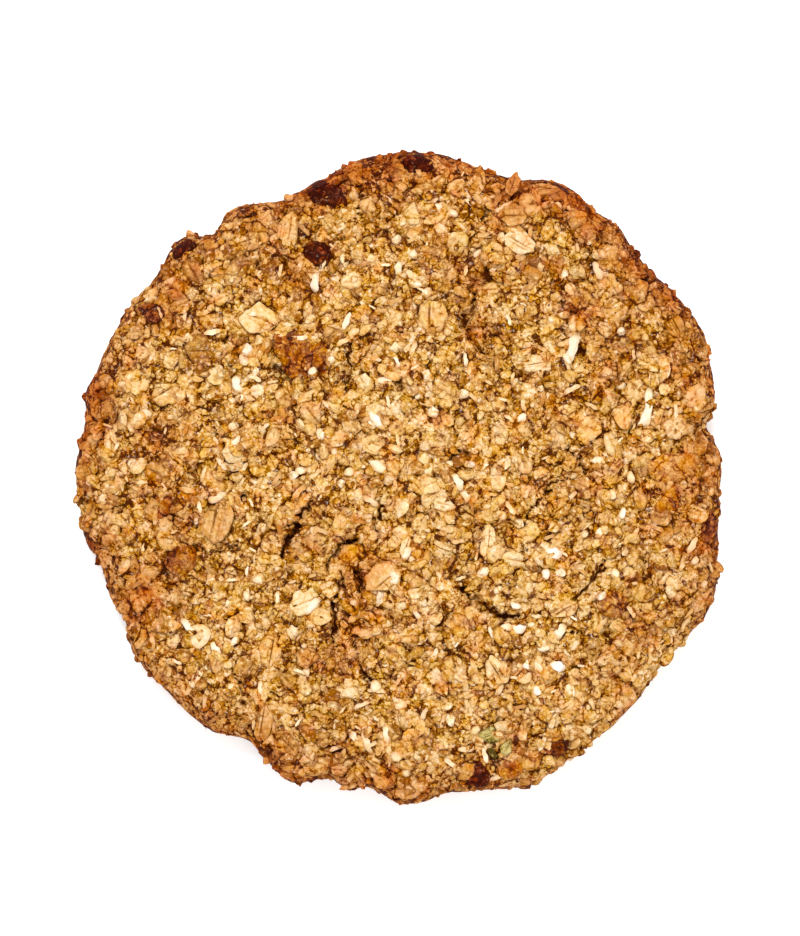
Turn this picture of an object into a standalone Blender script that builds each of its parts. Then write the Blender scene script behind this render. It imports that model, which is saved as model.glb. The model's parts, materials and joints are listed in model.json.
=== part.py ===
"""A large round cookie of oats, coconut and dried fruit, baked as one piece.

Metres, +Z up. The origin is the middle of the flat underside. Seen from above, +X is to the right
and +Y is up. The dough is a low disc with a lobed edge, a craggy top and short cracks. Rolled-oat
flakes, coconut shreds, grains and lumps of dried fruit stand half out of it and are fused to it.
"""

import math
import random

import bmesh
import bpy
import numpy as np
from mathutils import Matrix, Vector, noise
from mathutils.bvhtree import BVHTree

MM = 0.001
UP = Vector((0, 0, 1))

# The dough's form
EDGE_RADIUS = 47.2 * MM  # of the plain round edge, before its lobes
EDGE_SHIFT = 1.0 * MM  # the edge stands this much further out at +X than at -X
CENTRE_HEIGHT = 10.6 * MM
SHOULDER_HEIGHT = 9.0 * MM  # where the top turns over into the side
SHOULDER_INSET = 6.0 * MM
WAIST_HEIGHT = 3.4 * MM  # of the widest line of the side
FOOT_INSET = 2.2 * MM  # the side tucks in under the widest line by this much
DOME_POWER = 2.4

# Shares of the starting sphere's surface that become the top and the underside
TOP_SHARE = 0.50
BASE_SHARE = 0.34
SPHERE_SUBDIVISIONS = 7
DOUGH_TRIANGLES = 4300

# Relief of the dough: cell size and height of each layer of lumps
LUMPS = ((7.0 * MM, 1.50 * MM), (3.6 * MM, 1.00 * MM))
GRIT_SIZE = 1.7 * MM
GRIT_HEIGHT = 0.30 * MM
EDGE_RELIEF = 0.55  # share of the relief that the side keeps
PIT_SIZE = 9.0 * MM
PIT_DEPTH = 0.7 * MM
PIT_THRESHOLD = 0.30
FLAT_FOOT_RADIUS = 14.0 * MM  # the underside has no pits within this radius

# Lobes and notches of the edge, going round from +X: angle, half-width in degrees, height in mm
LOBES = (
    (9, 3.5, -1.7), (26, 10, 1.9), (49, 5, 1.3), (60, 6, 2.1), (71, 5, -0.7), (87, 8, 1.0),
    (104, 5, -1.2), (112, 6, -2.5), (127, 3, -1.8), (133, 4, 1.1), (158, 10, 0.8), (165, 3, 1.0),
    (180, 8, 1.3), (190, 3, 0.9), (198, 5, -0.5), (208, 3, -0.9), (215, 6, 0.6), (241, 5, -1.8),
    (251, 4, 1.0), (257, 2.5, -1.6), (265, 3, -1.0), (272, 5, 1.2), (295, 10, 2.0),
    (312, 9, 0.7), (338, 8, 2.1), (356, 5, -0.4),
)

# Cracks in the top: start, middle and end (x, y), then width and depth, in mm
CRACKS = (
    ((-12.6, -4.0), (-15.0, -7.5), (-17.0, -11.8), 1.7, 2.2),
    ((-5.4, -9.0), (-8.2, -10.4), (-9.9, -13.8), 1.5, 2.0),
    ((-2.2, -3.2), (-3.0, -6.6), (-2.4, -11.0), 1.2, 1.6),
    ((25.0, -0.3), (20.2, -4.0), (18.2, -11.8), 1.4, 2.0),
    ((24.8, 5.2), (27.0, 2.2), (29.2, -0.8), 1.4, 2.0),
    ((10.2, -15.8), (12.8, -18.8), (16.4, -19.8), 1.5, 2.0),
    ((-8.4, -14.2), (-9.0, -18.5), (-9.6, -24.0), 1.7, 1.8),
    ((-6.2, -23.3), (-5.4, -28.0), (-2.2, -30.4), 1.3, 1.8),
    ((37.0, 12.2), (35.0, 8.4), (35.3, 3.8), 1.4, 1.7),
    ((30.2, -11.6), (28.6, -15.4), (25.6, -18.2), 1.5, 1.5),
    ((-7.2, 21.2), (-7.0, 17.0), (-7.9, 12.8), 1.3, 1.7),
    ((11.0, 25.2), (10.8, 20.8), (13.8, 18.0), 1.9, 1.4),
    ((15.6, 44.0), (16.6, 42.2), (16.9, 39.6), 1.3, 1.3),
    ((-24.2, -27.6), (-23.0, -31.0), (-21.8, -34.0), 1.2, 1.4),
    ((-28.4, -10.8), (-25.2, -11.0), (-23.6, -9.6), 1.1, 1.2),
)

# Rolled oats and nut slices that lie on top: x, y, length, width in mm, turn in degrees
FLAKES = (
    (5.0, 23.0, 5.6, 4.4, 0), (-20.0, 22.6, 6.2, 5.0, -20), (-29.0, 18.2, 4.4, 4.2, 0),
    (-26.4, -6.2, 7.6, 6.2, 80), (-13.2, -18.2, 5.4, 4.2, 20), (-2.0, -15.0, 5.8, 5.0, 40),
    (5.0, -2.2, 5.4, 4.8, 10), (-15.8, 35.6, 6.4, 4.0, 80), (18.0, 34.2, 4.8, 3.4, -30),
    (17.2, 38.2, 3.8, 3.6, 0), (-12.4, 11.0, 4.2, 3.6, 10), (20.2, 16.6, 4.6, 2.6, 10),
    (-18.4, -25.4, 5.0, 3.6, 80), (-19.6, -35.6, 6.4, 3.2, 80), (14.6, -28.2, 4.6, 3.2, -60),
    (13.2, -9.6, 5.4, 2.4, 85), (44.0, 9.4, 6.4, 2.0, 18), (21.4, 41.8, 4.8, 2.2, 5),
    (-33.6, 12.4, 4.6, 4.2, 30), (40.6, 22.0, 4.0, 3.0, -60), (24.4, -19.6, 4.4, 3.0, 30),
)

# Lumps of dried fruit: x, y, length, width in mm, turn in degrees
FRUIT = (
    (-13.6, 18.0, 10.0, 7.2, -25), (-11.6, 33.0, 4.6, 3.8, -20), (-10.2, 41.6, 6.4, 3.8, -15),
    (-31.6, 33.6, 3.8, 2.8, 40), (-36.4, 24.2, 4.4, 3.0, -15), (-32.0, -12.4, 5.0, 4.6, 60),
    (-34.4, -4.6, 5.2, 4.2, 0), (41.8, -2.8, 6.4, 5.0, 70), (46.0, -7.4, 5.0, 3.2, 80),
    (32.0, -18.8, 4.6, 4.4, 0), (23.4, -40.2, 4.4, 3.2, 20), (12.0, -44.2, 4.2, 3.6, 90),
    (3.0, 46.2, 4.6, 3.0, 0), (-6.8, -11.8, 4.6, 3.4, 30), (17.0, -43.4, 4.4, 3.2, 10),
)

# Coconut shreds: x, y, length, width in mm, turn in degrees
SHREDS = (
    (36.5, 10.8, 5.8, 1.3, 84), (-4.3, -38.6, 4.6, 1.2, -68), (-30.2, -22.0, 4.8, 1.2, -58),
    (25.8, 19.0, 3.6, 1.5, 65), (28.8, 2.2, 2.8, 1.6, 10), (22.8, -11.4, 2.6, 1.6, -15),
    (8.9, -1.0, 3.0, 1.3, -55), (-21.2, 23.8, 2.8, 1.4, -25), (28.8, 30.4, 3.2, 1.6, -60),
    (-23.6, 13.8, 2.8, 1.3, -65), (15.6, 39.4, 3.0, 1.0, 30), (-11.8, 28.4, 3.0, 1.0, 85),
)

# Smaller pieces scattered between the named ones
SEED = 11
SCATTERED_FLAKES = 28
SCATTERED_SHREDS = 26
SCATTERED_GRAINS = 28
FLAKE_SIZE = (3.2 * MM, 5.0 * MM)
SHRED_SIZE = (2.6 * MM, 4.6 * MM)
GRAIN_SIZE = (1.7 * MM, 2.6 * MM)
FLAKE_THICKNESS = 1.7 * MM
FRUIT_THICKNESS = 3.4 * MM
SCATTER_REACH = 0.95  # of the edge's radius
TRIES_PER_PIECE = 12

OAT_COLOUR = (0.56, 0.29, 0.085, 1.0)
CRUMB_ROUGHNESS = 0.85


def clear_scene():
    """Removes whatever the file opened with."""
    for obj in list(bpy.data.objects):
        bpy.data.objects.remove(obj, do_unlink=True)


def new_collection(name):
    collection = bpy.data.collections.new(name)
    bpy.context.scene.collection.children.link(collection)
    return collection


def crumb_material():
    """Golden baked oat crumb: matt, and not metallic."""
    material = bpy.data.materials.new("baked_oat_crumb")
    material.use_nodes = True
    shader = material.node_tree.nodes["Principled BSDF"]
    shader.inputs["Base Color"].default_value = OAT_COLOUR
    shader.inputs["Roughness"].default_value = CRUMB_ROUGHNESS
    shader.inputs["Metallic"].default_value = 0.0
    return material


def add_object(name, bm, collection):
    """Turns a bmesh into a smooth-shaded object of the collection."""
    mesh = bpy.data.meshes.new(name)
    bm.to_mesh(mesh)
    bm.free()
    mesh.shade_smooth()
    obj = bpy.data.objects.new(name, mesh)
    collection.objects.link(obj)
    return obj


def edge_radius(angle):
    """Distance of the edge from the axis at an angle in radians, which may be an array."""
    degrees = np.degrees(angle)
    radius = EDGE_RADIUS + EDGE_SHIFT * np.cos(angle)
    for at, half_width, height in LOBES:
        apart = (degrees - at + 180.0) % 360.0 - 180.0
        radius = radius + height * MM * np.exp(-((apart / half_width) ** 2))
    return radius


def dough_form(directions):
    """Places unit vectors on the smooth dough. Returns the points, the way out, and the relief's share."""
    angle = np.arctan2(directions[:, 1], directions[:, 0])
    edge = edge_radius(angle)
    share = (1.0 - directions[:, 2]) / 2.0
    on_top = share <= TOP_SHARE
    on_base = share >= 1.0 - BASE_SHARE

    # Top: a shallow dome out to the shoulder
    reach = np.sqrt(np.clip(share / TOP_SHARE, 0, 1))
    radius = (edge - SHOULDER_INSET) * reach
    height = CENTRE_HEIGHT - (CENTRE_HEIGHT - SHOULDER_HEIGHT) * reach**DOME_POWER
    out, up = np.zeros_like(radius), np.ones_like(radius)

    # Side: two quarter ovals that meet at the waist, turned by one angle from up to down
    turn = np.clip((share - TOP_SHARE) / (1.0 - TOP_SHARE - BASE_SHARE), 0, 1) * math.pi
    above = turn <= math.pi / 2
    inset = np.where(above, SHOULDER_INSET, FOOT_INSET)
    rise = np.where(above, SHOULDER_HEIGHT - WAIST_HEIGHT, WAIST_HEIGHT)
    side = ~on_top & ~on_base
    radius = np.where(side, edge - inset + inset * np.sin(turn), radius)
    height = np.where(side, WAIST_HEIGHT + rise * np.cos(turn), height)
    out = np.where(side, np.sin(turn), out)
    up = np.where(side, np.cos(turn), up)

    # Underside: flat
    back = np.sqrt(np.clip((1.0 - share) / BASE_SHARE, 0, 1))
    radius = np.where(on_base, (edge - FOOT_INSET) * back, radius)
    height = np.where(on_base, 0.0, height)
    out = np.where(on_base, 0.0, out)
    up = np.where(on_base, -1.0, up)

    around = np.stack([np.cos(angle), np.sin(angle)], 1)
    points = np.column_stack([around * radius[:, None], height])
    way_out = np.column_stack([around * out[:, None], up])
    relief_share = np.where(on_top, 1.0, np.where(side, EDGE_RELIEF * np.clip(2 - turn, 0, 1), 0.0))
    return points, way_out, relief_share


def crag_height(point):
    """Height of the lumps and grit at a point of the dough."""
    height = 0.0
    for size, rise in LUMPS:
        nearest = noise.voronoi(point / size)[0][0]
        height += rise * (0.42 - nearest * nearest)
    return height + GRIT_HEIGHT * noise.noise(point / GRIT_SIZE)


def pit_depth(point):
    """Depth of the shallow pits that the tray leaves in the underside."""
    clear_of_middle = min(1.0, max(0.0, point.xy.length / FLAT_FOOT_RADIUS - 1.0) * 3.0)
    return PIT_DEPTH * clear_of_middle * max(0.0, noise.noise(point / PIT_SIZE) - PIT_THRESHOLD)


def crack_depth(points):
    """Depth of the cracks at each point, from the curve through each crack's three points."""
    depth = np.zeros(len(points))
    for start, middle, end, width, deep in CRACKS:
        a, m, b = (np.array(p) * MM for p in (start, middle, end))
        control = 2 * m - (a + b) / 2
        for t in np.linspace(0.0, 1.0, 25):
            on_curve = (1 - t) ** 2 * a + 2 * t * (1 - t) * control + t**2 * b
            apart = np.linalg.norm(points[:, :2] - on_curve, axis=1)
            half = width * MM / 2 * (0.55 + 0.45 * math.sin(math.pi * t))
            here = deep * MM * np.clip(1.4 - apart / half, 0, 1)
            depth = np.maximum(depth, here)
    return depth


def make_dough(collection):
    """The disc of dough: a ball moved onto the form, with lumps, cracks and pits, then thinned out."""
    bm = bmesh.new()
    bmesh.ops.create_icosphere(bm, subdivisions=SPHERE_SUBDIVISIONS, radius=1.0)
    dough = add_object("cookie", bm, collection)
    vertices = dough.data.vertices
    flat = np.empty(len(vertices) * 3)
    vertices.foreach_get("co", flat)
    points, way_out, relief_share = dough_form(flat.reshape(-1, 3))

    crags = np.array([crag_height(Vector(p)) for p in points]) * relief_share
    crags -= crack_depth(points) * (way_out[:, 2] > 0.3)
    pits = np.array([pit_depth(Vector(p)) for p in points])
    points = points + way_out * crags[:, None]
    points[:, 2] += pits * (way_out[:, 2] <= -1.0)
    vertices.foreach_set("co", points.ravel())
    dough.data.update()

    thin = dough.modifiers.new("thin_out", "DECIMATE")
    thin.ratio = DOUGH_TRIANGLES / len(dough.data.polygons)
    apply_modifiers(dough)
    return dough


def apply_modifiers(obj):
    """Makes the evaluated mesh the object's own."""
    graph = bpy.context.evaluated_depsgraph_get()
    mesh = bpy.data.meshes.new_from_object(obj.evaluated_get(graph), depsgraph=graph)
    obj.modifiers.clear()
    obj.data = mesh


def flake_mesh(length, width, rng):
    """A rolled oat: a thin oval plate, narrower on top, with an uneven rim."""
    bm = bmesh.new()
    bmesh.ops.create_cone(bm, cap_ends=True, segments=8, radius1=0.5, radius2=0.30, depth=1.0)
    for vertex in bm.verts:
        vertex.co.xy *= rng.uniform(0.88, 1.08)
    bmesh.ops.scale(bm, verts=bm.verts, vec=(length, width, FLAKE_THICKNESS))
    return bm


def shred_mesh(length, width, rng):
    """A coconut shred: a bar in two bent halves, thinner towards its ends."""
    bm = bmesh.new()
    bmesh.ops.create_cube(bm, size=1.0)
    across = [edge for edge in bm.edges if abs(edge.verts[0].co.x - edge.verts[1].co.x) > 0.5]
    bmesh.ops.subdivide_edges(bm, edges=across, cuts=1)
    bend = rng.uniform(-0.5, 0.5)
    for vertex in bm.verts:
        middle = abs(vertex.co.x) < 0.1
        vertex.co.y = vertex.co.y * (1.0 if middle else 0.62) + (bend if middle else 0.0)
    bmesh.ops.scale(bm, verts=bm.verts, vec=(length, width, width))
    return bm


def lump_mesh(length, width, thickness, subdivisions, unevenness, rng):
    """A grain or a lump of fruit: a ball pressed to size, with uneven corners."""
    bm = bmesh.new()
    bmesh.ops.create_icosphere(bm, subdivisions=subdivisions, radius=0.5)
    for vertex in bm.verts:
        vertex.co *= rng.uniform(1.0 - unevenness, 1.0 + unevenness)
    bmesh.ops.scale(bm, verts=bm.verts, vec=(length, width, thickness))
    return bm


def lay_on_top(obj, tree, x, y, turn, lift, tilt):
    """Lays a topping on the dough at x, y, square to the slope there, which tilt eases towards level."""
    point, normal, _, _ = tree.ray_cast(Vector((x, y, 2 * CENTRE_HEIGHT)), -UP)
    slope = normal.lerp(UP, tilt).normalized()
    stand = UP.rotation_difference(slope).to_matrix().to_4x4()
    obj.matrix_world = Matrix.Translation(point + slope * lift) @ stand @ Matrix.Rotation(turn, 4, "Z")


def named_toppings(tree, toppings, rng):
    """The large flakes, fruit and shreds, each in its own place. Returns the places that they take."""
    taken = []
    for number, (x, y, length, width, turn) in enumerate(FRUIT):
        bm = lump_mesh(length * MM, width * MM, FRUIT_THICKNESS, 2, 0.14, rng)
        lump = add_object(f"fruit_{number}", bm, toppings)
        lay_on_top(lump, tree, x * MM * 0.985, y * MM * 0.985, math.radians(turn), -0.2 * MM, 0.5)
        taken.append((x * MM, y * MM, 0.45 * length * MM))
    for number, (x, y, length, width, turn) in enumerate(FLAKES):
        flake = add_object(f"flake_{number}", flake_mesh(length * MM, width * MM, rng), toppings)
        lay_on_top(flake, tree, x * MM, y * MM, math.radians(turn), 0.25 * MM, 0.55)
        taken.append((x * MM, y * MM, 0.5 * length * MM))
    for number, (x, y, length, width, turn) in enumerate(SHREDS):
        shred = add_object(f"shred_{number}", shred_mesh(length * MM, width * MM, rng), toppings)
        lay_on_top(shred, tree, x * MM, y * MM, math.radians(turn), 0.35 * MM, 0.6)
        taken.append((x * MM, y * MM, 0.4 * length * MM))
    return taken


def free_place(taken, rng):
    """Of a few random places on the top, the one that stands furthest from those already taken."""
    best, best_gap = None, -1.0
    for _ in range(TRIES_PER_PIECE):
        reach, angle = math.sqrt(rng.random()) * SCATTER_REACH, rng.uniform(0, math.tau)
        distance = reach * float(edge_radius(angle))
        x, y = distance * math.cos(angle), distance * math.sin(angle)
        gap = min(math.hypot(x - tx, y - ty) - tr for tx, ty, tr in taken)
        if gap > best_gap:
            best, best_gap = (x, y), gap
    return best


def scatter_toppings(tree, toppings, taken, rng):
    """The smaller flakes, shreds and grains, the largest first, spread evenly between the named ones."""
    kinds = (
        ["flake"] * SCATTERED_FLAKES + ["shred"] * SCATTERED_SHREDS + ["grain"] * SCATTERED_GRAINS
    )
    for number, kind in enumerate(kinds):
        if kind == "flake":
            length = rng.uniform(*FLAKE_SIZE)
            bm, lift = flake_mesh(length, length * rng.uniform(0.62, 0.9), rng), 0.15 * MM
        elif kind == "shred":
            length = rng.uniform(*SHRED_SIZE)
            bm, lift = shred_mesh(length, rng.uniform(0.9, 1.3) * MM, rng), 0.2 * MM
        else:
            length = rng.uniform(*GRAIN_SIZE)
            bm = lump_mesh(length, length * 0.85, length * 0.85, 1, 0.08, rng)
            lift = 0.15 * MM
        place = free_place(taken, rng)
        piece = add_object(f"{kind}_small_{number}", bm, toppings)
        lay_on_top(piece, tree, *place, rng.uniform(0, math.tau), lift, rng.uniform(0.1, 0.7))
        taken.append((*place, length * 0.4))


def fuse(dough, toppings):
    """Joins every topping to the dough in one union, then removes the toppings."""
    union = dough.modifiers.new("fuse_toppings", "BOOLEAN")
    union.operation = "UNION"
    union.operand_type = "COLLECTION"
    union.collection = toppings
    union.solver = "MANIFOLD"
    apply_modifiers(dough)
    for obj in list(toppings.objects):
        bpy.data.objects.remove(obj, do_unlink=True)
    bpy.data.collections.remove(toppings)


def keep_outer_skin(mesh):
    """Drops loose scraps and the skins of sealed hollows: all but the largest connected surface."""
    bm = bmesh.new()
    bm.from_mesh(mesh)
    bmesh.ops.triangulate(bm, faces=bm.faces)
    unseen = set(bm.verts)
    skins = []
    while unseen:
        front, skin = [unseen.pop()], set()
        while front:
            vertex = front.pop()
            skin.add(vertex)
            near = {edge.other_vert(vertex) for edge in vertex.link_edges} & unseen
            unseen -= near
            front.extend(near)
        skins.append(skin)
    largest = max(skins, key=len)
    extra = [vertex for vertex in bm.verts if vertex not in largest]
    bmesh.ops.delete(bm, geom=extra, context="VERTS")
    bm.to_mesh(mesh)
    bm.free()


def centre_on_origin(mesh):
    """Puts the middle of the cookie's box over the origin, with the underside at height 0."""
    flat = np.empty(len(mesh.vertices) * 3)
    mesh.vertices.foreach_get("co", flat)
    points = flat.reshape(-1, 3)
    low, high = points.min(0), points.max(0)
    middle = (low + high) / 2
    mesh.transform(Matrix.Translation((-middle[0], -middle[1], -low[2])))


def build_cookie():
    clear_scene()
    rng = random.Random(SEED)
    cookie_parts = new_collection("oat_coconut_cookie")
    toppings = new_collection("toppings")
    dough = make_dough(cookie_parts)
    tree = BVHTree.FromPolygons(
        [v.co.copy() for v in dough.data.vertices], [p.vertices[:] for p in dough.data.polygons]
    )
    taken = named_toppings(tree, toppings, rng)
    scatter_toppings(tree, toppings, taken, rng)
    bpy.context.view_layer.update()
    fuse(dough, toppings)
    keep_outer_skin(dough.data)
    centre_on_origin(dough.data)
    dough.data.materials.clear()
    dough.data.materials.append(crumb_material())
    dough.data.shade_smooth()
    dough.data.set_sharp_from_angle(angle=math.radians(35))
    return dough


build_cookie()
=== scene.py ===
"""The looks of a large oat, coconut and dried-fruit cookie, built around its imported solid.

Metres, +Z up, origin at the middle of the flat underside, as in the solid. The dough is one fine
mesh with the solid's own form and relief. Over it lie the large pieces of the recipe, each in its
own place: oat flakes, coconut, white grains, pumpkin seed and fruit. Between them lie thousands of
small ones that Geometry Nodes spread: nuggets, broken flakes, lumps, crumbs, grains, shreds and bran.
Every piece is plain mesh at true size. Numbers given in mm are turned to metres by MM.
"""

import json
import math
import random
from functools import partial

import bmesh
import bpy
import numpy as np
from mathutils import Matrix, Vector, noise
from mathutils.bvhtree import BVHTree

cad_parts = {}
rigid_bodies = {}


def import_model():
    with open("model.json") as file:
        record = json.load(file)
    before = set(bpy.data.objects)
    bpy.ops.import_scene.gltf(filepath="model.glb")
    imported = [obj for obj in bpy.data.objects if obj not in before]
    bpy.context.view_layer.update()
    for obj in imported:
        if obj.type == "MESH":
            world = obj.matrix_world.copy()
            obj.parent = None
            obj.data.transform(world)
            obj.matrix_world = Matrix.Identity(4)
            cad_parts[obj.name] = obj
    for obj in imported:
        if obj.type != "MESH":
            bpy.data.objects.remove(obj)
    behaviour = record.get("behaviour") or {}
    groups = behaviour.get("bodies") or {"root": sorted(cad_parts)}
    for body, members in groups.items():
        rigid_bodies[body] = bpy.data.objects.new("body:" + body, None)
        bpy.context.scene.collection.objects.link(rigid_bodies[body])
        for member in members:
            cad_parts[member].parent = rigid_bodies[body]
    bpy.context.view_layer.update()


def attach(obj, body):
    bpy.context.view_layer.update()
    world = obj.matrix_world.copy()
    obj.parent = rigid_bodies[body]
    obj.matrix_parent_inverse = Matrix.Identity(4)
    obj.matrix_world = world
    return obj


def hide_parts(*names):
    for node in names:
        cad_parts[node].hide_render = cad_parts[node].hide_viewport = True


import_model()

MM = 0.001
UP = Vector((0, 0, 1))

# ---------------------------------------------------------------- the dough's form, as in the solid

EDGE_RADIUS = 47.2 * MM
EDGE_SHIFT = 1.0 * MM
CENTRE_HEIGHT = 10.6 * MM
SHOULDER_HEIGHT = 9.0 * MM
SHOULDER_INSET = 6.0 * MM
WAIST_HEIGHT = 3.4 * MM
FOOT_INSET = 2.2 * MM
DOME_POWER = 2.4
LUMPS = ((7.0 * MM, 1.50 * MM), (3.6 * MM, 1.00 * MM))
EDGE_RELIEF = 0.55
PIT_SIZE = 9.0 * MM
PIT_DEPTH = 0.7 * MM
PIT_THRESHOLD = 0.30
FLAT_FOOT_RADIUS = 14.0 * MM

# Lobes and notches of the edge, going round from +X: angle, half-width in degrees, height in mm
LOBES = (
    (9, 3.5, -1.7), (26, 10, 1.9), (49, 5, 1.3), (60, 6, 2.1), (71, 5, -0.7), (87, 8, 1.0),
    (104, 5, -1.2), (112, 6, -2.5), (127, 3, -1.8), (133, 4, 1.1), (158, 10, 0.8), (165, 3, 1.0),
    (180, 8, 1.3), (190, 3, 0.9), (198, 5, -0.5), (208, 3, -0.9), (215, 6, 0.6), (241, 5, -1.8),
    (251, 4, 1.0), (257, 2.5, -1.6), (265, 3, -1.0), (272, 5, 1.2), (295, 10, 2.0), (312, 9, 0.7),
    (338, 8, 2.1), (356, 5, -0.4),
)

# Cracks in the top: x, y of the start, the middle and the end, then width and depth, in mm
CRACKS = (
    (-12.6, -4.0, -15.0, -7.5, -17.0, -11.8, 1.5, 2.6), (-5.4, -9.0, -8.2, -10.4, -9.9, -13.8, 1.1, 2.2),
    (-2.2, -3.2, -3.0, -6.6, -2.4, -11.0, 0.8, 1.6), (25.0, -0.3, 20.2, -4.0, 18.2, -11.8, 0.75, 1.8),
    (24.1, 5.6, 26.6, 2.6, 28.6, -0.8, 0.7, 1.9), (9.6, -16.6, 13.2, -19.2, 17.8, -20.4, 1.3, 2.2),
    (-8.4, -14.2, -9.0, -18.5, -9.6, -24.0, 1.2, 2.0), (-6.2, -23.3, -5.4, -28.0, -2.2, -30.4, 0.8, 1.6),
    (35.8, 12.2, 34.6, 9.4, 34.2, 6.8, 0.5, 1.2), (30.2, -11.6, 28.6, -15.4, 25.6, -18.2, 0.75, 1.3),
    (-7.2, 21.2, -7.0, 17.0, -7.9, 12.8, 0.9, 1.8), (11.2, 26.2, 10.6, 21.8, 13.0, 18.0, 2.2, 2.2),
    (15.6, 44.0, 16.6, 42.2, 16.9, 39.6, 0.7, 1.3), (-24.2, -27.6, -23.0, -31.0, -21.8, -34.0, 0.7, 1.4),
    (-28.4, -10.8, -25.2, -11.0, -23.6, -9.6, 0.7, 1.4), (37.8, -0.5, 36.4, -2.6, 35.2, -4.5, 0.5, 1.2),
    (24.0, -23.5, 26.0, -23.2, 27.8, -22.3, 0.6, 1.2), (39.0, 24.5, 39.5, 21.8, 39.5, 19.0, 0.5, 1.2),
    (13.2, 40.0, 12.9, 38.8, 12.2, 37.5, 0.9, 1.3), (-5.0, 42.0, -5.4, 39.8, -5.4, 37.5, 0.6, 1.2),
    (-18.9, -31.8, -17.6, -32.2, -16.8, -32.5, 0.6, 1.2), (-5.3, -14.0, -5.6, -15.2, -5.5, -16.5, 1.3, 2.4),
)

# Small open holes between the crumbs: x, y, radius in mm
HOLES = (
    (26.8, 18.2, 0.8), (-25.0, 19.8, 0.7), (-17.2, 15.5, 1.0), (-16.8, 31.5, 0.8), (-20.5, 31.2, 0.8),
    (28.5, -25.5, 1.0), (31.0, -22.8, 0.9), (12.6, 29.2, 1.2), (12.4, 20.5, 1.4), (-8.0, 15.5, 0.9),
    (0.6, 14.0, 0.7), (-22.4, -2.6, 0.7),
)

# ---------------------------------------------------------------- the large pieces of the recipe

# Rolled oats and nut slices: x, y, length, width in mm, turn in degrees, paleness 0 to 1
FLAKES = (
    (5.0, 23.4, 4.8, 5.0, 90, 0.48), (-20.4, 23.2, 5.8, 4.6, -20, 0.66), (-28.8, 18.6, 4.8, 4.6, 0, 0.28),
    (-26.4, -6.2, 6.8, 5.4, 80, 0.42), (-13.2, -18.2, 5.4, 4.2, 20, 0.80),
    (-2.0, -15.0, 5.8, 5.0, 40, 0.62), (5.0, -2.2, 5.4, 4.8, 10, 0.58), (-15.8, 35.6, 6.4, 4.0, 80, 0.62),
    (18.0, 34.2, 5.0, 3.4, -30, 0.90), (17.2, 38.2, 3.8, 3.6, 0, 0.60), (-12.4, 11.0, 4.2, 3.6, 10, 0.62),
    (20.2, 16.6, 4.6, 2.6, 10, 0.80), (-18.4, -25.4, 5.0, 3.6, 80, 0.52),
    (-19.6, -35.6, 6.4, 3.2, 80, 0.50), (14.6, -28.2, 4.6, 3.2, -60, 0.70),
    (13.2, -9.6, 5.4, 2.4, 85, 0.75), (44.0, 9.4, 6.6, 1.9, 18, 0.35), (21.4, 41.8, 4.8, 2.2, 5, 0.65),
    (-33.6, 12.4, 4.6, 4.2, 30, 0.55), (40.6, 22.0, 4.0, 3.0, -60, 0.45),
    (24.4, -19.6, 4.4, 3.0, 30, 0.50), (29.2, 19.8, 3.6, 2.0, 10, 0.55), (2.9, -12.2, 2.8, 2.3, 30, 0.90),
    (1.2, -10.4, 3.2, 2.0, 80, 0.80), (17.0, 42.4, 4.6, 2.0, 75, 0.70),
)

# Lumps of dried fruit: x, y, length, width in mm, turn in degrees, redness 0 (dark) to 1 (orange)
FRUIT = (
    (-13.6, 18.0, 10.0, 7.2, -25, 0.45), (-11.6, 33.0, 4.6, 3.8, -20, 0.05),
    (-10.2, 41.6, 6.4, 3.8, -15, 0.12), (-31.6, 33.6, 3.8, 2.8, 40, 0.05),
    (-36.4, 24.2, 4.4, 3.0, -15, 0.30), (-32.0, -12.4, 5.0, 4.6, 60, 0.45),
    (-34.4, -4.6, 5.4, 4.4, 0, 0.52), (41.0, 1.4, 8.2, 4.4, 5, 0.76), (40.6, -3.8, 6.4, 5.0, 80, 0.68),
    (46.0, -7.4, 5.0, 3.2, 80, 0.42), (32.0, -18.8, 4.6, 4.4, 0, 0.60), (23.4, -40.2, 4.4, 3.2, 20, 0.12),
    (12.0, -44.2, 4.2, 3.6, 90, 0.15), (3.0, 46.2, 4.6, 3.0, 0, 0.10), (-6.8, -11.8, 4.6, 3.4, 30, 0.75),
    (17.0, -43.4, 4.4, 3.2, 10, 0.55),
)

# Broken pumpkin seeds: x, y, length, width in mm, turn in degrees, paleness 0 to 1
SEEDS = (
    (13.6, -37.8, 3.4, 2.9, 20, 0.45), (16.2, -39.2, 2.8, 2.2, 60, 0.75),
    (13.9, -40.6, 2.0, 1.5, -30, 0.20),
)

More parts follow.
